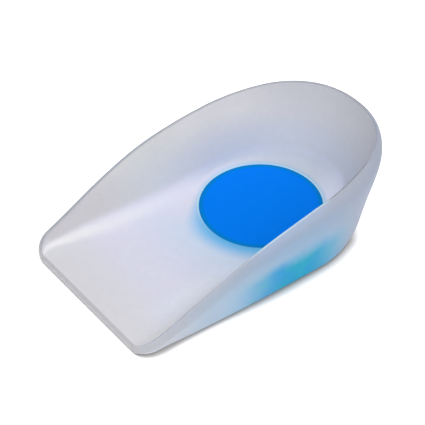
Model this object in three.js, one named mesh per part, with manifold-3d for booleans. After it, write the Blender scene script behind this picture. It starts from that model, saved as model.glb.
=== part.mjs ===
// Silicone heel cup: a hollow moulded cup that holds the heel, open above and at the toe end,
// with a softer round pad seated in its floor.
// Millimetres. +X across, +Y towards the heel, +Z up, origin under the middle of the cup.

import * as THREE from 'three';
import { mergeVertices } from 'three/addons/utils/BufferGeometryUtils.js';
import Module from 'manifold-3d';

// Cup
const toeReach = 66; // toe edge to the middle of the heel
const wallReach = 39.2; // middle of the heel to the back of the wall
const wallOverhang = 6.2; // how far the back of the wall stands out past the underside
const wallWidth = 63.6; // across the walls at their widest
const footWidth = 60.6; // across the underside at its widest
const rimHeight = 27.4; // rim above the ground at the back of the heel
const widestHeight = 23; // height of the wall's widest line at the back of the heel
const rimInset = 1.9; // from the wall's widest line in to the rim's crest
const rimEdgeRadius = 0.5; // rounding of the crest
const shoulderSlope = 48; // degrees that the wall's outer shoulder falls, where it leaves the crest
const toeThickness = 2.7; // sole at the toe edge
const toeCornerRadius = 5.5; // corners of the toe edge, seen from above
const toeEdgeRadius = 0.7; // upper edge of the toe edge
const footEdgeRadius = 2.7; // rounding between the underside and the wall
const creaseReach = 4.5; // how far the inner corner's rounding runs up the wall and over the floor
const bowlSwell = 1; // how far the heel's inner wall is hollowed past a straight line

// Pad and its pocket
const padDiameter = 38.8;
const padThickness = 3;
const padEdgeRadius = 0.4;
const skinThickness = 1.1; // silicone left under the pocket
const seatClearance = 0.3; // gap between the pad and its pocket
const floorMargin = 2.6; // floor left round the pad, out to the inner corner
const floorReachExtra = 4.5; // the floor's further reach behind the pad

const cupLength = toeReach + wallReach;
const rimLength = cupLength - rimInset; // toe edge to about the back of the rim's crest
const footReach = wallReach - wallOverhang;
const padRadius = padDiameter / 2;
const pocketRadius = padRadius + seatClearance;
const soleThickness = skinThickness + seatClearance + padThickness;
const floorHalf = padRadius + floorMargin;
const floorReach = floorHalf + floorReachExtra;

// Sections from the toe edge to the middle of the heel. along is a share of toeReach, and the
// others are shares of half the foot and wall widths, of rimInset and of half the floor.
const sideSections = [
  { along: 0.0, foot: 0.891, wall: 0.928, inset: 0.84, floor: 1.22 },
  { along: 0.19, foot: 0.936, wall: 0.9645, inset: 0.92, floor: 1.118 },
  { along: 0.4, foot: 0.969, wall: 0.99, inset: 0.97, floor: 0.986 },
  { along: 0.64, foot: 0.992, wall: 1.0, inset: 1.0, floor: 0.918 },
  { along: 0.88, foot: 1.0, wall: 0.988, inset: 1.0, floor: 0.968 },
  { along: 1.0, foot: 0.999, wall: 0.975, inset: 1.0, floor: 1.0 },
];

// How far the rim rises above the sole, seen from the side. along is a share of rimLength, and rise
// one of the wall's height above the sole at the back of the heel.
const rimLine = [
  { along: 0.0, rise: 0.089 },
  { along: 0.12, rise: 0.28 },
  { along: 0.25, rise: 0.514 },
  { along: 0.4, rise: 0.736 },
  { along: 0.55, rise: 0.868 },
  { along: 0.7, rise: 0.942 },
  { along: 0.85, rise: 0.992 },
  { along: 1.0, rise: 1.0 },
];

// The rim's inset round the heel, from its side to its back: along is a share of the quarter turn,
// and inset one of rimInset.
const heelInsets = [
  { along: 0.0, inset: 1.0 },
  { along: 0.15, inset: 1.26 },
  { along: 0.36, inset: 1.42 },
  { along: 0.55, inset: 1.14 },
  { along: 0.75, inset: 0.78 },
  { along: 1.0, inset: 0.7 },
];

// Where the section's curves bend. wallLow and wallHigh are shares of the way from the underside's
// rounding to the widest line. The others are the most that a form takes: the rounding of the wall's
// slant, the widest line of the shoulder's height, and the crease of the floor beside the pocket.
const bends = { footEdge: 0.45, wallLow: 0.45, wallHigh: 0.8, widest: 0.92, crease: 0.9 };

// Exponents of the superellipses round the heel: 2 is an ellipse, more is squarer.
const footSquareness = 1.9;
const wallSquareness = 2.15;
const floorSquareness = 2;

// Smoothness of the mesh
const cornerSteps = 6;
const sideSteps = 13;
const heelSteps = 18;
const padSides = 64;
const joinDistance = 1e-4; // corners closer than this are one

const point = (r, z) => new THREE.Vector2(r, z);

// Reads one column of a table anywhere between its rows, along a smooth curve.
function readColumn(table, column, along) {
  const places = table.map((row) => row.along);
  const values = table.map((row) => row[column]);
  const curve = new THREE.CubicInterpolant(places, values, 1);
  curve.settings = { endingStart: THREE.ZeroCurvatureEnding, endingEnd: THREE.ZeroSlopeEnding };
  return curve.evaluate(along)[0];
}

// Goes from 0 at the toe edge to 1 at the given radius, along a quarter circle.
function quarterCircle(y, radius) {
  return y < radius ? Math.sqrt(1 - (1 - y / radius) ** 2) : 1;
}

// Distance from the middle of the heel to a superellipse, in the direction of the angle.
function superellipse(half, reach, squareness, angle) {
  const across = (Math.cos(angle) / half) ** squareness;
  const back = (Math.sin(angle) / reach) ** squareness;
  return (across + back) ** (-1 / squareness);
}

// Height of the plain sole, which thickens from the toe edge to the pad.
function soleHeight(y) {
  const rise = THREE.MathUtils.smoothstep(y, 0, toeReach - pocketRadius);
  return THREE.MathUtils.lerp(toeThickness, soleThickness, rise);
}

// Heights of the floor and the rim, where the profile crosses the floor at floorY and the rim at rimY.
function wallHeights(floorY, rimY) {
  const floorZ = soleHeight(floorY) - toeEdgeRadius * (1 - quarterCircle(floorY, toeEdgeRadius));
  const rise = (rimHeight - soleThickness) * readColumn(rimLine, 'rise', rimY / rimLength);
  return { floorZ, rimZ: floorZ + rise * quarterCircle(rimY, toeCornerRadius) };
}

// A station is one place round the cup: where its profile starts on the middle line, the direction
// that it faces, and the sizes of the wall there.
function sideStation(y) {
  const along = y / toeReach;
  const cornerLoss = toeCornerRadius * (1 - quarterCircle(y, toeCornerRadius));
  return {
    y,
    angle: 0,
    foot: (footWidth / 2) * readColumn(sideSections, 'foot', along) - cornerLoss,
    wall: (wallWidth / 2) * readColumn(sideSections, 'wall', along) - cornerLoss,
    inset: rimInset * readColumn(sideSections, 'inset', along),
    floor: floorHalf * readColumn(sideSections, 'floor', along) - cornerLoss,
    pocket: Math.sqrt(Math.max(0, pocketRadius ** 2 - (toeReach - y) ** 2)),
    ...wallHeights(y, y),
  };
}

function heelStation(angle) {
  const side = sideStation(toeReach);
  const wall = superellipse(side.wall, wallReach, wallSquareness, angle);
  const inset = rimInset * readColumn(heelInsets, 'inset', angle / (Math.PI / 2));
  return {
    y: toeReach,
    angle,
    foot: superellipse(side.foot, footReach, footSquareness, angle),
    wall,
    inset,
    floor: superellipse(floorHalf, floorReach, floorSquareness, angle),
    pocket: pocketRadius,
    ...wallHeights(toeReach, toeReach + (wall - inset) * Math.sin(angle)),
  };
}

// The cup's section at a station, from the middle of the underside round the rim to the middle of
// the floor. Its first value is the distance from the middle line, its second the height.
function profile(station) {
  const { foot, wall, inset, floor, floorZ, rimZ, pocket } = station;
  const rise = rimZ - floorZ;
  const crestCentre = point(wall - inset, rimZ - rimEdgeRadius);
  const crestStart = THREE.MathUtils.degToRad(90 - shoulderSlope);
  const crestEnd = Math.PI - Math.asin(Math.max(0, 1 - rise / rimEdgeRadius));
  const arc = [rimEdgeRadius, rimEdgeRadius, crestStart, crestEnd];
  const crest = new THREE.EllipseCurve(crestCentre.x, crestCentre.y, ...arc);
  const rimOutside = crest.getPoint(0);
  const rimInside = crest.getPoint(1);

  const shoulderDrop = (wall - rimOutside.x) / Math.tan(crestStart);
  const shoulderCorner = point(wall, rimOutside.y - shoulderDrop);
  const widestZ = Math.min(rimZ * (widestHeight / rimHeight), shoulderCorner.y * bends.widest);
  const widest = point(wall, widestZ);

  const underCentre = point(0, 0);
  const footCorner = point(foot, 0);
  const wallLength = footCorner.distanceTo(widest);
  const edgeCut = Math.min(footEdgeRadius, wallLength * bends.footEdge);
  const underEdge = point(foot - edgeCut, 0);
  const wallFoot = footCorner.clone().lerp(widest, edgeCut / wallLength);
  const wallLow = wallFoot.clone().lerp(widest, bends.wallLow);
  const wallHigh = point(wall, THREE.MathUtils.lerp(wallFoot.y, widestZ, bends.wallHigh));

  const crease = point(floor, floorZ);
  const innerLength = crease.distanceTo(rimInside);
  const reach = Math.min(creaseReach, innerLength / 2);
  const creaseTop = crease.clone().lerp(rimInside, reach / innerLength);
  const innerMiddle = creaseTop.clone().lerp(rimInside, 0.5);
  innerMiddle.x += (2 * bowlSwell * rise) / rimHeight; // the curve goes half as far as its corner
  const creaseEnd = point(floor - Math.min(reach, (floor - pocket) * bends.crease), floorZ);
  const floorCentre = point(0, floorZ);

  const stretches = [
    new THREE.LineCurve(underCentre, underEdge).getPoints(2),
    new THREE.QuadraticBezierCurve(underEdge, footCorner, wallFoot).getPoints(3),
    new THREE.CubicBezierCurve(wallFoot, wallLow, wallHigh, widest).getPoints(4),
    new THREE.QuadraticBezierCurve(widest, shoulderCorner, rimOutside).getPoints(4),
    crest.getPoints(3),
    new THREE.QuadraticBezierCurve(rimInside, innerMiddle, creaseTop).getPoints(5),
    new THREE.QuadraticBezierCurve(creaseTop, crease, creaseEnd).getPoints(4),
    new THREE.LineCurve(creaseEnd, floorCentre).getPoints(3),
  ];
  return [underCentre].concat(stretches.flatMap((points) => points.slice(1)));
}

// The profile in its place, on the right or left half of the cup.
function placedProfile(station, side) {
  const direction = point(Math.cos(station.angle), Math.sin(station.angle));
  return profile(station).map(({ x: r, y: z }) => new THREE.Vector3(
    side * r * direction.x,
    station.y + r * direction.y - cupLength / 2,
    z,
  ));
}

function stations() {
  const list = [];
  for (let i = 0; i < cornerSteps; i += 1) {
    const turn = (i / cornerSteps) * (Math.PI / 2);
    list.push(sideStation(toeCornerRadius * (1 - Math.cos(turn))));
  }
  for (let i = 0; i < sideSteps; i += 1) {
    list.push(sideStation(THREE.MathUtils.lerp(toeCornerRadius, toeReach, i / sideSteps)));
  }
  for (let i = 0; i <= heelSteps; i += 1) {
    list.push(heelStation((i / heelSteps) * (Math.PI / 2)));
  }
  return list;
}

// Triangles of one half: a net through the profiles, and a fan that closes the toe edge.
function halfShell(side) {
  const rows = stations().map((station) => placedProfile(station, side));
  const triangles = [];
  for (let i = 0; i + 1 < rows.length; i += 1) {
    for (let j = 0; j + 1 < rows[i].length; j += 1) {
      triangles.push([rows[i][j], rows[i + 1][j + 1], rows[i][j + 1]]);
      triangles.push([rows[i][j], rows[i + 1][j], rows[i + 1][j + 1]]);
    }
  }
  for (let j = 1; j + 1 < rows[0].length; j += 1) {
    triangles.push([rows[0][0], rows[0][j], rows[0][j + 1]]);
  }
  return side > 0 ? triangles : triangles.map(([a, b, c]) => [a, c, b]);
}

// A closed geometry with shared corners, and without the triangles that shrink to a line.
function closedGeometry(triangles) {
  const loose = new THREE.BufferGeometry().setFromPoints(triangles.flat());
  const joined = mergeVertices(loose, joinDistance);
  const corners = [];
  for (let i = 0; i < joined.index.count; i += 3) {
    const [a, b, c] = [0, 1, 2].map((k) => joined.index.getX(i + k));
    if (a !== b && b !== c && c !== a) corners.push(a, b, c);
  }
  joined.setIndex(corners);
  return joined;
}

// A solid turned round the Z axis from a list of [radius, height] points that starts and ends on it.
function turned(outline) {
  const lathe = new THREE.LatheGeometry(outline.map(([r, z]) => point(r, z)), padSides);
  lathe.rotateX(Math.PI / 2);
  lathe.deleteAttribute('normal');
  lathe.deleteAttribute('uv');
  return closedGeometry(triangleList(lathe));
}

function triangleList(geometry) {
  const flat = geometry.toNonIndexed().getAttribute('position');
  const triangles = [];
  for (let i = 0; i < flat.count; i += 3) {
    triangles.push([0, 1, 2].map((k) => new THREE.Vector3().fromBufferAttribute(flat, i + k)));
  }
  return triangles;
}

const wasm = await Module();
wasm.setup();

function toSolid(geometry) {
  return new wasm.Manifold(new wasm.Mesh({
    numProp: 3,
    vertProperties: new Float32Array(geometry.getAttribute('position').array),
    triVerts: new Uint32Array(geometry.index.array),
  }));
}

function toGeometry(solid) {
  const mesh = solid.getMesh();
  const geometry = new THREE.BufferGeometry();
  geometry.setAttribute('position', new THREE.BufferAttribute(mesh.vertProperties, 3));
  geometry.setIndex(new THREE.BufferAttribute(mesh.triVerts, 1));
  geometry.computeVertexNormals();
  return geometry;
}

function pocketCutter() {
  const cutter = turned([
    [0, skinThickness],
    [pocketRadius, skinThickness],
    [pocketRadius, rimHeight],
    [0, rimHeight],
  ]);
  return cutter.translate(0, toeReach - cupLength / 2, 0);
}

function cupShell() {
  const body = toSolid(closedGeometry([...halfShell(1), ...halfShell(-1)]));
  const silicone = new THREE.MeshStandardMaterial({ color: 0xd9dae6, roughness: 0.45, metalness: 0 });
  const shell = new THREE.Mesh(toGeometry(body.subtract(toSolid(pocketCutter()))), silicone);
  shell.name = 'cup_shell';
  return shell;
}

function heelPad() {
  const geometry = turned([
    [0, 0],
    [padRadius - padEdgeRadius, 0],
    [padRadius, padEdgeRadius],
    [padRadius, padThickness - padEdgeRadius],
    [padRadius - padEdgeRadius, padThickness],
    [0, padThickness],
  ]);
  geometry.computeVertexNormals();
  const gel = new THREE.MeshStandardMaterial({ color: 0x0078f0, roughness: 0.4, metalness: 0 });
  const pad = new THREE.Mesh(geometry, gel);
  pad.name = 'heel_pad';
  pad.position.set(0, toeReach - cupLength / 2, skinThickness + seatClearance);
  return pad;
}

const heelCup = new THREE.Group();
heelCup.add(cupShell(), heelPad());

export default heelCup;
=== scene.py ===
import math

import bmesh
import bpy
import numpy as np
from mathutils import Matrix, Vector


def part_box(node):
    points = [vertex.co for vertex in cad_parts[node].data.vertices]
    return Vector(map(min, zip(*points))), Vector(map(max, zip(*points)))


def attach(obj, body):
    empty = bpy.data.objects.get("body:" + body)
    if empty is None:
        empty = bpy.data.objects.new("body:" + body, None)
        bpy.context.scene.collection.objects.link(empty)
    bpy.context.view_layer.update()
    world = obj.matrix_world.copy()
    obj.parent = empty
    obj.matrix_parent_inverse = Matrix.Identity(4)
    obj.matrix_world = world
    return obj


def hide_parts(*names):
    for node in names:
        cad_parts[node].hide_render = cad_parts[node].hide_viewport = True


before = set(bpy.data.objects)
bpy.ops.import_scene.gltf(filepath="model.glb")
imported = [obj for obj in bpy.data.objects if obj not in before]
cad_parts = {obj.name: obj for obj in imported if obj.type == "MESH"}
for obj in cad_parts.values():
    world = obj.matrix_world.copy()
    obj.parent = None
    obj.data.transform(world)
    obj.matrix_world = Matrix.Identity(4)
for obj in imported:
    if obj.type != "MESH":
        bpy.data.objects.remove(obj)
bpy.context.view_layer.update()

# The cup is one injection moulding of soft, milky silicone: a flat sole, side walls that rise
# from the toe corners to the heel, a rounded rim and a finely grained skin. It is moulded round
# the blue pad, whose colour shines through the sole and the foot of the walls.

TOE_REACH = 0.066  # toe edge to the middle of the heel
WALL_REACH = 0.0392  # middle of the heel to the back of the wall
WALL_OVERHANG = 0.0062  # how far the back of the wall stands out past the underside
WALL_WIDTH = 0.0636
FOOT_WIDTH = 0.0606
RIM_HEIGHT = 0.0274
WIDEST_HEIGHT = 0.023  # height of the wall's widest line at the back of the heel
RIM_INSET = 0.0019  # from the wall's widest line in to the rim's crest
RIM_EDGE_RADIUS = 0.0005
SHOULDER_SLOPE = math.radians(48)  # fall of the wall's outer shoulder, where it leaves the crest
TOE_THICKNESS = 0.0027
TOE_CORNER_RADIUS = 0.0055
TOE_EDGE_RADIUS = 0.0007
FOOT_EDGE_RADIUS = 0.0027
CREASE_REACH = 0.0045  # how far the inner corner's rounding reaches along the floor and the wall
BOWL_SWELL = 0.001  # how far the inner wall bows out halfway up
SKIN_THICKNESS = 0.0011  # silicone under the pad
FLOOR_MARGIN = 0.0026  # from the pad's edge to the inner corner at the sides
FLOOR_REACH_EXTRA = 0.0045  # how much further behind the pad
POCKET_CLEARANCE = 0.00002  # as good as none, because the silicone is bonded to the pad

# How square each line is round the heel. 2 is an ellipse, and less is more pointed.
WALL_SQUARENESS = 2.15
FOOT_SQUARENESS = 1.8
FLOOR_SQUARENESS = 2

# Shares that shape a section's curves. The low and high bend are places on the wall's slant and
# up its widest line. The others are the most that a form takes: the rounding of the wall's slant,
# the widest line of the shoulder's height, and the crease of the floor beside the pocket.
BENDS = {"foot edge": 0.45, "wall low": 0.6, "wall high": 0.8, "widest": 0.92, "crease": 0.9}

pad_low, pad_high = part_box("heel_pad")
pad_radius = (pad_high.x - pad_low.x) / 2
pocket_radius = pad_radius + POCKET_CLEARANCE
pocket_front = TOE_REACH - pocket_radius
sole_thickness = pad_high.z
cup_length = TOE_REACH + WALL_REACH
rim_length = cup_length - RIM_INSET
foot_reach = WALL_REACH - WALL_OVERHANG
floor_half = pad_radius + FLOOR_MARGIN
floor_reach = floor_half + FLOOR_REACH_EXTRA
heel_middle = TOE_REACH - cup_length / 2

# Sections from the toe edge to the middle of the heel: shares of the toe's reach, and of half the
# foot and wall widths, the rim's inset and half the floor.
SIDE_SECTIONS = {
    "along": [0, 0.19, 0.4, 0.64, 0.88, 1],
    "foot": [0.891, 0.936, 0.969, 0.992, 1, 0.999],
    "wall": [0.928, 0.9645, 0.99, 1, 0.988, 0.975],
    "inset": [0.84, 0.92, 0.97, 1, 1, 1],
    "floor": [1.22, 1.118, 0.986, 0.918, 0.968, 1],
}

# The rim seen from the side: shares of its length and of the wall's height above the sole.
RIM_LINE = {
    "along": [0, 0.12, 0.25, 0.4, 0.55, 0.7, 0.85, 1],
    "rise": [0.089, 0.28, 0.514, 0.736, 0.868, 0.942, 0.992, 1],
}

# The rim's inset round the heel, from its side to its back: shares of the quarter turn and of it.
HEEL_INSETS = {
    "along": [0, 0.15, 0.36, 0.55, 0.75, 1],
    "inset": [1, 1.26, 1.42, 1.14, 0.78, 0.7],
}

# What faces outwards: the mark "outside" at the start and the end of each stretch of a section.
CREST_OUTSIDE = 0.82
OUTSIDE_MARKS = {
    "underside": [1, 1],
    "foot edge": [1, 1],
    "outer wall": [1, 1],
    "shoulder": [1, CREST_OUTSIDE],
    "crest": [CREST_OUTSIDE, 0],
}


def smooth(t):
    return t * t * (3 - 2 * t)


def read_column(table, column, along):
    """Reads one column of a table anywhere between its rows, along a smooth curve."""
    places = np.array(table["along"], float)
    values = np.array(table[column], float)
    secants = np.diff(values) / np.diff(places)
    slopes = np.concatenate([secants[:1], (secants[1:] + secants[:-1]) / 2, [0]])
    i = int(np.clip(np.searchsorted(places, along) - 1, 0, len(places) - 2))
    step = places[i + 1] - places[i]
    t = (along - places[i]) / step
    bow = slopes[i] * t * (1 - t) ** 2 - slopes[i + 1] * t * t * (1 - t)
    return values[i] + (values[i + 1] - values[i]) * smooth(t) + step * bow


def quarter_circle(y, radius):
    return math.sqrt(1 - (1 - y / radius) ** 2) if y < radius else 1


def superellipse(half, reach, squareness, angle):
    across = (abs(math.cos(angle)) / half) ** squareness
    back = (math.sin(angle) / reach) ** squareness
    return (across + back) ** (-1 / squareness)


def wall_heights(floor_y, rim_y):
    """Heights of the floor and the rim, where a section crosses them."""
    sole_rise = smooth(min(1, floor_y / pocket_front))
    sole = TOE_THICKNESS + (sole_thickness - TOE_THICKNESS) * sole_rise
    floor_z = sole - TOE_EDGE_RADIUS * (1 - quarter_circle(floor_y, TOE_EDGE_RADIUS))
    rise = (RIM_HEIGHT - sole_thickness) * read_column(RIM_LINE, "rise", rim_y / rim_length)
    rim_z = floor_z + rise * quarter_circle(rim_y, TOE_CORNER_RADIUS)
    return {"floor_z": floor_z, "rim_z": rim_z}


def side_station(y, pocket_depth):
    """The sizes of the section at y from the toe edge. Its pocket_depth is 1 beside the pad."""
    along = y / TOE_REACH
    corner_loss = TOE_CORNER_RADIUS * (1 - quarter_circle(y, TOE_CORNER_RADIUS))
    return {
        "y": y,
        "angle": 0,
        "foot": FOOT_WIDTH / 2 * read_column(SIDE_SECTIONS, "foot", along) - corner_loss,
        "wall": WALL_WIDTH / 2 * read_column(SIDE_SECTIONS, "wall", along) - corner_loss,
        "inset": RIM_INSET * read_column(SIDE_SECTIONS, "inset", along),
        "floor": floor_half * read_column(SIDE_SECTIONS, "floor", along) - corner_loss,
        "pocket": math.sqrt(max(0, pocket_radius**2 - (TOE_REACH - y) ** 2)),
        "pocket_depth": pocket_depth,
        **wall_heights(y, y),
    }


def heel_station(angle):
    """The sizes of the section that is turned by an angle about the middle of the heel."""
    side = side_station(TOE_REACH, 1)
    wall = superellipse(side["wall"], WALL_REACH, WALL_SQUARENESS, angle)
    inset = RIM_INSET * read_column(HEEL_INSETS, "inset", angle / (math.pi / 2))
    return {
        **side,
        "angle": angle,
        "foot": superellipse(side["foot"], foot_reach, FOOT_SQUARENESS, angle),
        "wall": wall,
        "inset": inset,
        "floor": superellipse(floor_half, floor_reach, FLOOR_SQUARENESS, angle),
        **wall_heights(TOE_REACH, TOE_REACH + (wall - inset) * math.sin(angle)),
    }


def line(start, end, steps):
    t = np.linspace(0, 1, steps + 1)[:, None]
    return start + (end - start) * t


def bend(*corners, steps):
    """A Bezier curve through the first and last of three or four corners."""
    t = np.linspace(0, 1, steps + 1)[:, None]
    last = len(corners) - 1
    return sum(
        math.comb(last, i) * t**i * (1 - t) ** (last - i) * corner
        for i, corner in enumerate(corners)
    )


def section(station):
    """The cup's section at a station, as stretches from the middle of the underside over the rim
    to the middle of the floor, each of [distance from the middle line, height]."""
    foot, wall, inset, floor = (station[k] for k in ("foot", "wall", "inset", "floor"))
    floor_z, rim_z, pocket = (station[k] for k in ("floor_z", "rim_z", "pocket"))
    rise = rim_z - floor_z
    crest_centre = np.array([wall - inset, rim_z - RIM_EDGE_RADIUS])
    crest_start = math.pi / 2 - SHOULDER_SLOPE
    crest_end = math.pi - math.asin(max(0, 1 - rise / RIM_EDGE_RADIUS))
    turn = np.linspace(crest_start, crest_end, 13)
    crest = crest_centre + RIM_EDGE_RADIUS * np.stack([np.cos(turn), np.sin(turn)], 1)

    shoulder_drop = (wall - crest[0][0]) / math.tan(crest_start)
    shoulder_corner = np.array([wall, crest[0][1] - shoulder_drop])
    widest_z = min(rim_z * WIDEST_HEIGHT / RIM_HEIGHT, shoulder_corner[1] * BENDS["widest"])
    widest = np.array([wall, widest_z])

    foot_corner = np.array([foot, 0])
    wall_length = np.linalg.norm(widest - foot_corner)
    edge_cut = min(FOOT_EDGE_RADIUS, BENDS["foot edge"] * wall_length)
    under_edge = np.array([foot - edge_cut, 0])
    wall_foot = foot_corner + (widest - foot_corner) * edge_cut / wall_length
    wall_low = wall_foot + (widest - wall_foot) * BENDS["wall low"]
    wall_high = np.array([wall, wall_foot[1] + (widest_z - wall_foot[1]) * BENDS["wall high"]])

    crease = np.array([floor, floor_z])
    inner_length = np.linalg.norm(crest[-1] - crease)
    reach = min(CREASE_REACH, inner_length / 2)
    crease_top = crease + (crest[-1] - crease) * reach / inner_length
    inner_middle = (crease_top + crest[-1]) / 2 + [2 * BOWL_SWELL * rise / RIM_HEIGHT, 0]
    crease_end = np.array([floor - min(reach, (floor - pocket) * BENDS["crease"]), floor_z])
    pocket_edge = np.array([pocket, floor_z])
    pocket_z = floor_z + (SKIN_THICKNESS - floor_z) * station["pocket_depth"]
    pocket_bottom = np.array([pocket, pocket_z])

    return {
        "underside": line(np.zeros(2), under_edge, steps=12),
        "foot edge": bend(under_edge, foot_corner, wall_foot, steps=8),
        "outer wall": bend(wall_foot, wall_low, wall_high, widest, steps=18),
        "shoulder": bend(widest, shoulder_corner, crest[0], steps=14),
        "crest": crest,
        "inner wall": bend(crest[-1], inner_middle, crease_top, steps=20),
        "crease": bend(crease_top, crease, crease_end, steps=12),
        "floor": line(crease_end, pocket_edge, steps=12),
        "pocket wall": line(pocket_edge, pocket_bottom, steps=3),
        "pocket floor": line(pocket_bottom, np.array([0, pocket_z]), steps=6),
    }


def cup_stations():
    """Places along one half of the cup, closer together round the toe corner and the pocket."""
    turns = np.linspace(0, math.pi / 2, 15)[:-1]
    found = [side_station(TOE_CORNER_RADIUS * (1 - math.cos(t)), 0) for t in turns]
    found += [side_station(y, 0) for y in np.linspace(TOE_CORNER_RADIUS, pocket_front, 50)]
    turns = np.linspace(0, math.pi / 2, 41)[:-1]
    found += [side_station(TOE_REACH - pocket_radius * math.cos(t), 1) for t in turns]
    return found + [heel_station(t) for t in np.linspace(0, math.pi / 2, 61)]


def section_marks(stretches):
    """Three marks for each point of a section, which its material reads: "outside" falls to 0 over
    the rim, and "crease" and "rim" rise to 1 in the middle of the inner corner and the crest."""
    marks = {"outside": [], "crease": [], "rim": []}
    for name, stretch in stretches.items():
        steps = np.arange(len(stretch) - 1) / (len(stretch) - 1)
        middle = np.sin(math.pi * steps)
        marks["outside"] += list(np.interp(steps, [0, 1], OUTSIDE_MARKS.get(name, [0, 0])))
        marks["crease"] += list(middle * (name == "crease"))
        marks["rim"] += list(middle * (name == "crest"))
    return {name: values + [0] for name, values in marks.items()}


def half_faces(first, rows, width):
    """The faces of one half, between its rows of points, and one that closes its toe edge."""
    faces = []
    for i in range(rows - 1):
        for j in range(width - 1):
            a = first + i * width + j
            faces.append((a, a + width, a + width + 1, a + 1))
    faces.append(tuple(first + j for j in range(width)))
    return faces


def cup_mesh():
    """The closed shell: the right half, the left half as its mirror image, and their marks."""
    stations = cup_stations()
    points = []
    marks = {"outside": [], "crease": [], "rim": []}
    for side in (1, -1):
        for station in stations:
            stretches = section(station)
            row = [stretch[:-1] for stretch in stretches.values()]
            row = np.concatenate(row + [stretches["pocket floor"][-1:]])
            for name, values in section_marks(stretches).items():
                marks[name] += values
            points += [
                (
                    side * r * math.cos(station["angle"]),
                    station["y"] + r * math.sin(station["angle"]) - cup_length / 2,
                    z,
                )
                for r, z in row
            ]
    half = len(points) // 2
    width = half // len(stations)
    right = half_faces(0, len(stations), width)
    left = [face[::-1] for face in half_faces(half, len(stations), width)]
    mesh = bpy.data.meshes.new("cup")
    mesh.from_pydata(points, [], right + left)
    for name, values in marks.items():
        mesh.attributes.new(name, "FLOAT", "POINT").data.foreach_set("value", values)
    shape = bmesh.new()
    shape.from_mesh(mesh)
    bmesh.ops.remove_doubles(shape, verts=shape.verts, dist=2e-6)
    bmesh.ops.dissolve_degenerate(shape, edges=shape.edges, dist=1e-7)
    bmesh.ops.recalc_face_normals(shape, faces=shape.faces)
    shape.to_mesh(mesh)
    shape.free()
    mesh.shade_smooth()
    mesh.set_sharp_from_angle(angle=math.radians(50))
    return mesh


def srgb(red, green, blue):
    """A colour as it looks on screen, from 0 to 255, for a shader's colour socket."""
    return tuple(((c / 255 + 0.055) / 1.055) ** 2.4 for c in (red, green, blue)) + (1,)


class Shade:
    """One socket of a material's nodes, so that shader maths is written as plain expressions."""

    def __init__(self, socket):
        self.socket = socket

    def node(self, kind, settings, sockets, output=0):
        """Adds a node to the same material: its settings first, then its sockets."""
        tree = self.socket.id_data
        made = tree.nodes.new(kind)
        for name, value in settings.items():
            setattr(made, name, value)
        for name, value in sockets.items():
            if isinstance(value, Shade):
                tree.links.new(value.socket, made.inputs[name])
            else:
                made.inputs[name].default_value = value
        return Shade(made.outputs[output])

    def math(self, operation, *values):
        return self.node("ShaderNodeMath", {"operation": operation}, dict(enumerate(values)))

    def __add__(self, other):
        return self.math("ADD", self, other)

    def __radd__(self, other):
        return self.math("ADD", other, self)

    def __sub__(self, other):
        return self.math("SUBTRACT", self, other)

    def __rsub__(self, other):
        return self.math("SUBTRACT", other, self)

    def __mul__(self, other):
        return self.math("MULTIPLY", self, other)

    def __rmul__(self, other):
        return self.math("MULTIPLY", other, self)

    def __truediv__(self, other):
        return self.math("DIVIDE", self, other)

    def __rtruediv__(self, other):
        return self.math("DIVIDE", other, self)

    def __pow__(self, other):
        return self.math("POWER", self, other)

    def __rpow__(self, other):
        return self.math("POWER", other, self)

    def ease(self, low, high):
        """0 up to low, 1 from high on, and smooth between them."""
        return self.node(
            "ShaderNodeMapRange",
            {"interpolation_type": "SMOOTHSTEP"},
            {"Value": self, "From Min": low, "From Max": high},
        )

    def tint(self, base, colour):
        """The base colour where this value is 0, and the other colour where it is 1."""
        factor, colour_a, colour_b, colour_result = 0, 6, 7, 2  # the Mix node's own numbers
        return self.node(
            "ShaderNodeMix",
            {"data_type": "RGBA", "clamp_factor": True},
            {factor: self, colour_a: base, colour_b: colour},
            output=colour_result,
        )

    def noise(self, scale, detail=2):
        """Noise at this place, with so many grains to the metre."""
        sockets = {"Vector": self, "Scale": scale, "Detail": detail}
        return self.node("ShaderNodeTexNoise", {}, sockets)

    def bump(self, strength):
        """A normal from this value as the height of a fine grain."""
        sockets = {"Strength": strength, "Distance": 0.0002, "Height": self}
        return self.node("ShaderNodeBump", {}, sockets)


def new_material(name, shader_settings):
    """A material with one Principled shader, and its object coordinates as one and as x, y, z."""
    material = bpy.data.materials.new(name)
    material.use_nodes = True
    shader = material.node_tree.nodes["Principled BSDF"]
    for socket, value in shader_settings.items():
        shader.inputs[socket].default_value = value
    place = Shade(shader.outputs[0]).node("ShaderNodeTexCoord", {}, {}, output="Object")
    parts = [
        place.node("ShaderNodeSeparateXYZ", {}, {"Vector": place}, output=axis) for axis in "XYZ"
    ]
    return material, shader, place, parts


def link(shader, socket, value):
    shader.id_data.links.new(value.socket, shader.inputs[socket])


# The silicone's colours blend between places in metres: x is across the cup, heel_y is behind the
# middle of the heel, toe_y is behind the toe edge, and z is above the ground.


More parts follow.
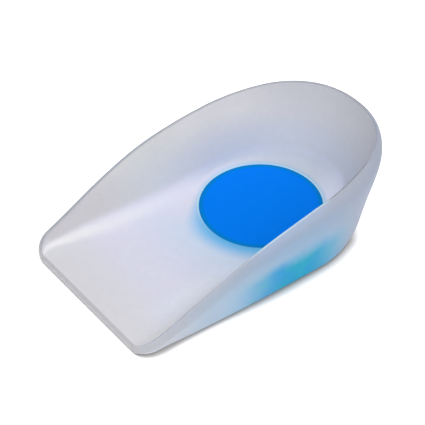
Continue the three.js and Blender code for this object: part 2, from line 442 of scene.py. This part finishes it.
def inner_colour(x, heel_y, z, crease, wall, from_toe):
    """Painted light and shade. The floor is lavender white, with a painted highlight that makes it
    brightest in its crease towards the toe. The wall is painted from a darker cool grey at its
    foot to a lighter warm white under the rim, and greyer behind the heel, where shade falls."""
    floor = 1 - wall
    # Painted highlight along the crease, strongest towards the toe.
    painted_crease_highlight = crease**2.4 * (1 - heel_y.ease(-0.036, -0.014))
    colour = heel_y.ease(-0.062, -0.044).tint(srgb(227, 227, 233), srgb(228, 228, 245))
    colour = (painted_crease_highlight * (0.95 - 0.5 * from_toe)).tint(colour, srgb(243, 242, 245))
    # Painted shade and light: darker at the wall's foot and behind the heel, lighter under the
    # rim.
    wall_foot = heel_y.ease(-0.045, -0.02).tint(srgb(208, 206, 211), srgb(209, 214, 223))
    side_high = heel_y.ease(-0.024, -0.003).tint(srgb(224, 224, 222), srgb(239, 235, 231))
    wall_high = heel_y.ease(0.008, 0.032).tint(side_high, srgb(217, 216, 218))
    wall_colour = z.ease(0.009, 0.022).tint(wall_foot, wall_high)
    colour = (wall * (1 - painted_crease_highlight)).tint(colour, wall_colour)

    # Painted shade and light: the floor is painted a darker bluish grey beside and behind the pad,
    # where shade falls, and a painted light makes it nearly white on the right towards the toe.
    beside_pad_shade = heel_y.ease(-0.018, 0.002) * (1 - heel_y.ease(0.004, 0.02))
    beside_pad_shade = 0.7 * beside_pad_shade * z.ease(0.0044, 0.006) * floor
    colour = beside_pad_shade.tint(colour, srgb(198, 209, 220))
    behind_pad_shade = x.ease(-0.003, 0.012).tint(srgb(201, 209, 222), srgb(226, 231, 250))
    colour = (heel_y.ease(-0.004, 0.02) * floor).tint(colour, behind_pad_shade)
    right_floor_light = x.ease(0.010, 0.018) * (1 - heel_y.ease(-0.024, -0.014)) * floor
    right_floor_light = right_floor_light * heel_y.ease(-0.062, -0.04)
    return (0.8 * right_floor_light).tint(colour, srgb(235, 240, 255))


# Painted glow of the pad's blue light in the floor round it.
GLOW_RIGHT, GLOW_TOEWARDS = 0.6, 0.8  # the direction in which the painted blue glow reaches furthest
GLOW_REACH = 0.002
GLOW_REACH_EXTRA = 0.0051  # how much further in that direction
FAINT_GLOW_REACH = 0.024
HALO_START, HALO_END = 0.0002, 0.0009  # where the painted halo fades, from the pad's edge


def painted_pad_glow(colour, x, heel_y, wall, pad_distance):
    """Painted glow: the pad's blue light, seen through the silicone, is painted into the floor
    round the pad and reaches furthest on the right towards the toe. On the other sides a thin pale
    painted halo lies against the pad."""
    glow_side = ((x * GLOW_RIGHT - heel_y * GLOW_TOEWARDS) / pad_radius).ease(0, 1)
    glow_reach = GLOW_REACH + GLOW_REACH_EXTRA * glow_side
    glow_ring = (1 - pad_distance / glow_reach).ease(0, 1)
    faint_glow = (1 - pad_distance.ease(0, FAINT_GLOW_REACH)) * glow_side**2 * (1 - wall)
    colour = (0.6 * faint_glow).tint(colour, srgb(198, 226, 255))
    colour = (glow_ring * (0.45 + 0.45 * glow_side)).tint(colour, srgb(84, 188, 248))
    # Painted halo: a thin pale line of light against the pad.
    pad_halo = (1 - pad_distance.ease(HALO_START, HALO_END)) * (1 - glow_side)
    return (0.8 * pad_halo).tint(colour, srgb(196, 240, 255))


def outer_colour(heel_y, z, cloud, pad_distance):
    """Painted shade and light. The outer wall is painted a darker cool grey than the inside, and
    darker towards the heel, as shade. The pad's light is painted cyan low in the wall beside it
    and blue in the thin skin below it, and a painted contact shadow makes a thin line at the
    heel's foot dark."""
    beside = heel_y.ease(-0.039, -0.014) * (1 - heel_y.ease(-0.007, 0.015))
    foot_glow = (1 - (z + 0.005 * cloud).ease(0.0108, 0.0180)) * beside
    pale_glow = (1 - z.ease(0.008, 0.022)) * heel_y.ease(-0.062, -0.028)
    pale_glow = pale_glow * (1 - heel_y.ease(-0.004, 0.018))
    under_pad = (1 - pad_distance.ease(-0.0015, 0.004)) * (1 - z.ease(0.0005, 0.002))
    # Painted contact shadow: a thin dark line along the heel's foot.
    foot_contact_shade = 0.45 * heel_y.ease(-0.01, 0.01) * (1 - z.ease(0.0002, 0.0012))
    glow_colour = cloud.ease(0.35, 0.65).tint(srgb(36, 146, 198), srgb(34, 156, 186))
    # Painted shade: the outer wall darker than the inside, and darker still towards the heel.
    colour = heel_y.ease(-0.066, -0.03).tint(srgb(185, 187, 195), srgb(156, 165, 184))
    colour = (0.6 * pale_glow).tint(colour, srgb(159, 193, 216))
    colour = (0.3 * beside * (1 - z.ease(0.018, 0.027))).tint(colour, srgb(110, 166, 206))
    colour = foot_glow.tint(colour, glow_colour)
    colour = under_pad.tint(colour, srgb(64, 160, 232))
    return foot_contact_shade.tint(colour, srgb(96, 98, 104))


def clear_silicone():
    """Milky silicone, finely mottled and grained, with the pad's light in it."""
    material, shader, place, (x, y, z) = new_material(
        "clear_silicone",
        {
            "IOR": 1.41,
            "Specular IOR Level": 0.15,
            "Subsurface Weight": 0.3,
            "Subsurface Radius": (1, 1, 1),
            "Subsurface Scale": 0.002,
        },
    )
    outside, crease, rim = (
        place.node("ShaderNodeAttribute", {"attribute_name": name}, {}, output="Fac")
        for name in ("outside", "crease", "rim")
    )
    toe_y = y + cup_length / 2
    heel_y = y - heel_middle
    pad_distance = (x * x + heel_y * heel_y) ** 0.5 - pad_radius
    cloud = place.noise(scale=120)
    mottle = place.noise(scale=450, detail=3)
    grain = place.noise(scale=1600)

    # The inner wall starts in the crease, a little above the floor, which rises from the toe.
    sole_rise = toe_y.ease(0, pocket_front)
    above_floor = z - TOE_THICKNESS - (sole_thickness - TOE_THICKNESS) * sole_rise
    from_toe = heel_y.ease(-0.062, -0.035)
    wall = above_floor.ease(0.0005 + 0.0006 * from_toe, 0.0022 + 0.0024 * from_toe)
    inside_colour = inner_colour(x, heel_y, z, crease, wall, from_toe)
    inside_colour = painted_pad_glow(inside_colour, x, heel_y, wall, pad_distance)

    # The pad's light reaches the rim through the right wall, and shows on its shoulder too.
    right = x.ease(0, 0.012)
    right_toe = right * (1 - heel_y.ease(-0.002, 0.005))
    right_heel = right * heel_y.ease(0.018, 0.026)
    rim_light = right_toe * heel_y.ease(-0.03, -0.022)
    shoulder = 1 - outside.ease(CREST_OUTSIDE, 0.97)
    outside_colour = outer_colour(heel_y, z, cloud, pad_distance)
    outside_colour = (0.8 * rim_light * shoulder).tint(outside_colour, srgb(152, 173, 207))
    colour = outside.tint(inside_colour, outside_colour)

    # The rim's crest carries a thin, mottled line of painted shade, grey on the left and paler on
    # the right, where the pad's light is painted in too. The upright face of the toe edge is
    # painted a light grey shade, darker than the floor.
    crest_shade_and_glow = right_toe.tint(srgb(140, 145, 159), srgb(186, 192, 210))
    crest_shade_and_glow = right_heel.tint(crest_shade_and_glow, srgb(168, 176, 196))
    crest_shade_and_glow = rim_light.tint(crest_shade_and_glow, srgb(200, 236, 255))
    # Painted shade line along the crest.
    colour = (rim * (0.5 + 0.35 * right) * (0.5 + mottle)).tint(colour, crest_shade_and_glow)
    # Painted shade on the upright face of the toe edge.
    toe_face_shade = 1 - toe_y.ease(0.0004, 0.0012)
    colour = (0.85 * toe_face_shade).tint(colour, srgb(190, 189, 194))
    colour = colour.node(
        "ShaderNodeVectorMath",
        {"operation": "SCALE"},
        {"Vector": colour, "Scale": 0.94 + 0.06 * grain + 0.06 * mottle},
    )

    link(shader, "Base Color", colour)
    link(shader, "Roughness", 0.45 + 0.12 * grain)
    link(shader, "Normal", grain.bump(strength=0.25))
    return material


def placed(name, data):
    """A new object in the scene."""
    made = bpy.data.objects.new(name, data)
    bpy.context.scene.collection.objects.link(made)
    return made


cup = placed("cup", cup_mesh())
cup.data.materials.append(clear_silicone())
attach(cup, "root")
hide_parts("cup_shell")

# The pad is a disc of softer, saturated blue gel. It is cast first and laid in the mould, so its
# top comes out level with the floor and its edge is bonded all round.

PAD_EDGE_RADIUS = 0.00005
PAD_CROWN = 0.00015  # how far the middle stands above the edge, which is level with the floor
PAD_SIDES = 128


def pad_mesh():
    """A disc with a fine rounding at both edges and a slightly crowned top, as rings of points
    from the edge of its underside up and in to the middle of its top."""
    thickness = pad_high.z - pad_low.z
    flat_radius = pad_radius - PAD_EDGE_RADIUS
    low = [
        (flat_radius + PAD_EDGE_RADIUS * math.sin(t), PAD_EDGE_RADIUS * (1 - math.cos(t)))
        for t in np.linspace(0, math.pi / 2, 7)
    ]
    high = [(r, thickness - z) for r, z in reversed(low)]
    top = [
        (r, thickness + PAD_CROWN * (1 - (r / flat_radius) ** 2))
        for r in np.linspace(flat_radius, 0, 25)[1:-1]
    ]
    turns = [math.tau * side / PAD_SIDES for side in range(PAD_SIDES)]
    rings = low + high + top
    points = [(r * math.cos(t), r * math.sin(t), z) for r, z in rings for t in turns]
    last_ring = len(points) - PAD_SIDES
    underside_middle, top_middle = len(points), len(points) + 1
    points += [(0, 0, 0), (0, 0, thickness + PAD_CROWN)]
    faces = []
    for side in range(PAD_SIDES):
        after = (side + 1) % PAD_SIDES
        faces.append((underside_middle, after, side))
        for ring in range(0, last_ring, PAD_SIDES):
            above = ring + PAD_SIDES
            faces.append((ring + side, ring + after, above + after, above + side))
        faces.append((last_ring + side, last_ring + after, top_middle))
    mesh = bpy.data.meshes.new("gel_pad")
    mesh.from_pydata(points, [], faces)
    mesh.shade_smooth()
    mesh.transform(Matrix.Translation((0, heel_middle, pad_low.z)))
    return mesh


def blue_gel():
    """Saturated blue gel, a little greener and darker at its edge, with a faint cloudiness."""
    material, shader, place, (x, y, _) = new_material(
        "blue_gel", {"IOR": 1.41, "Specular IOR Level": 0.02}
    )
    heel_y = y - heel_middle
    edge = ((x * x + heel_y * heel_y) ** 0.5).ease(pad_radius - 0.0020, pad_radius - 0.0006)
    cloud = place.noise(scale=90)
    grain = place.noise(scale=1500)
    colour = (0.3 * cloud).tint(srgb(0, 127, 250), srgb(0, 137, 254))
    link(shader, "Base Color", edge.tint(colour, srgb(0, 130, 212)))
    link(shader, "Roughness", 0.42 + 0.1 * grain)
    link(shader, "Normal", grain.bump(strength=0.15))
    return material


pad = placed("gel_pad", pad_mesh())
pad.data.materials.append(blue_gel())
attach(pad, "root")
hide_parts("heel_pad")

# The stage is a plain white table that glows a little, as under a soft box. The glow is cut where
# the cup closes off the space above the table, which leaves a narrow contact shadow round the
# cup's foot, thinner along the toe half and faint behind the heel.

TABLE_HALF = 3
CONTACT_REACH = 0.005  # how far up the table looks for the cup


def white_table():
    material, shader, place, (_, y, _) = new_material(
        "white_table",
        {
            "Base Color": srgb(204, 204, 204),
            "Roughness": 0.9,
            "Specular IOR Level": 0,
            "Emission Strength": 0.85,
        },
    )
    open_above = place.node(
        "ShaderNodeAmbientOcclusion", {"samples": 16}, {"Distance": CONTACT_REACH}, output="AO"
    )
    heel_y = y - heel_middle
    beside_heel = heel_y.ease(-0.046, -0.012)
    contact = 1 - open_above.ease(0.3 + 0.05 * beside_heel, 0.62 + 0.34 * beside_heel)
    contact = contact * (1 - 0.75 * heel_y.ease(0.014, 0.021))
    link(shader, "Emission Color", contact.tint(srgb(255, 255, 255), srgb(60, 48, 38)))
    return material


def soft_light(name, position, size, power):
    lamp = bpy.data.lights.new(name, "AREA")
    lamp.shape = "DISK"
    lamp.size = size
    lamp.energy = power
    made = placed(name, lamp)
    made.location = position
    made.rotation_euler = (-Vector(position)).to_track_quat("-Z", "Y").to_euler()


table_mesh = bpy.data.meshes.new("floor")
table_corners = [(-1, -1, 0), (1, -1, 0), (1, 1, 0), (-1, 1, 0)]
table_mesh.from_pydata(table_corners, [], [(0, 1, 2, 3)])
table_mesh.transform(Matrix.Scale(TABLE_HALF, 4))
table_mesh.materials.append(white_table())
placed("floor", table_mesh)

world = bpy.data.worlds.new("studio")
world.use_nodes = True
background = world.node_tree.nodes["Background"]
background.inputs["Color"].default_value = (1, 1, 1, 1)
background.inputs["Strength"].default_value = 0.3
bpy.context.scene.world = world
soft_light("top", position=(0, 0, 0.7), size=0.6, power=1.75)
soft_light("right", position=(0.5, 0, 0.45), size=0.6, power=1.15)
soft_light("front", position=(0.38, -0.38, 0.4), size=0.6, power=0.9)

# The camera looks down from the front right through a long lens, as in the photograph. The picture
# is a square, and the shifts set the cup off its middle by so many pixels.

CAMERA_AZIMUTH = math.radians(52.312)
CAMERA_ELEVATION = math.radians(42.318)
CAMERA_DISTANCE = 0.55
CAMERA_TARGET = Vector((0, -0.0001, 0.01))
SENSOR_WIDTH = 36
PICTURE_WIDTH = 425  # pixels
PIXELS_PER_METRE = 3265.3  # at the target
SHIFT_ACROSS = -14.22  # pixels
SHIFT_UP = -3.01  # pixels

camera_data = bpy.data.cameras.new("camera")
camera_data.sensor_width = SENSOR_WIDTH
camera_data.lens = SENSOR_WIDTH * PIXELS_PER_METRE * CAMERA_DISTANCE / PICTURE_WIDTH
camera_data.shift_x = SHIFT_ACROSS / PICTURE_WIDTH
camera_data.shift_y = SHIFT_UP / PICTURE_WIDTH
camera = placed("camera", camera_data)
towards_camera = Vector(
    (
        math.sin(CAMERA_AZIMUTH) * math.cos(CAMERA_ELEVATION),
        -math.cos(CAMERA_AZIMUTH) * math.cos(CAMERA_ELEVATION),
        math.sin(CAMERA_ELEVATION),
    )
)
camera.location = CAMERA_TARGET + CAMERA_DISTANCE * towards_camera
camera.rotation_euler = (-towards_camera).to_track_quat("-Z", "Y").to_euler()
bpy.context.scene.camera = camera
bpy.context.scene.view_settings.view_transform = "Standard"
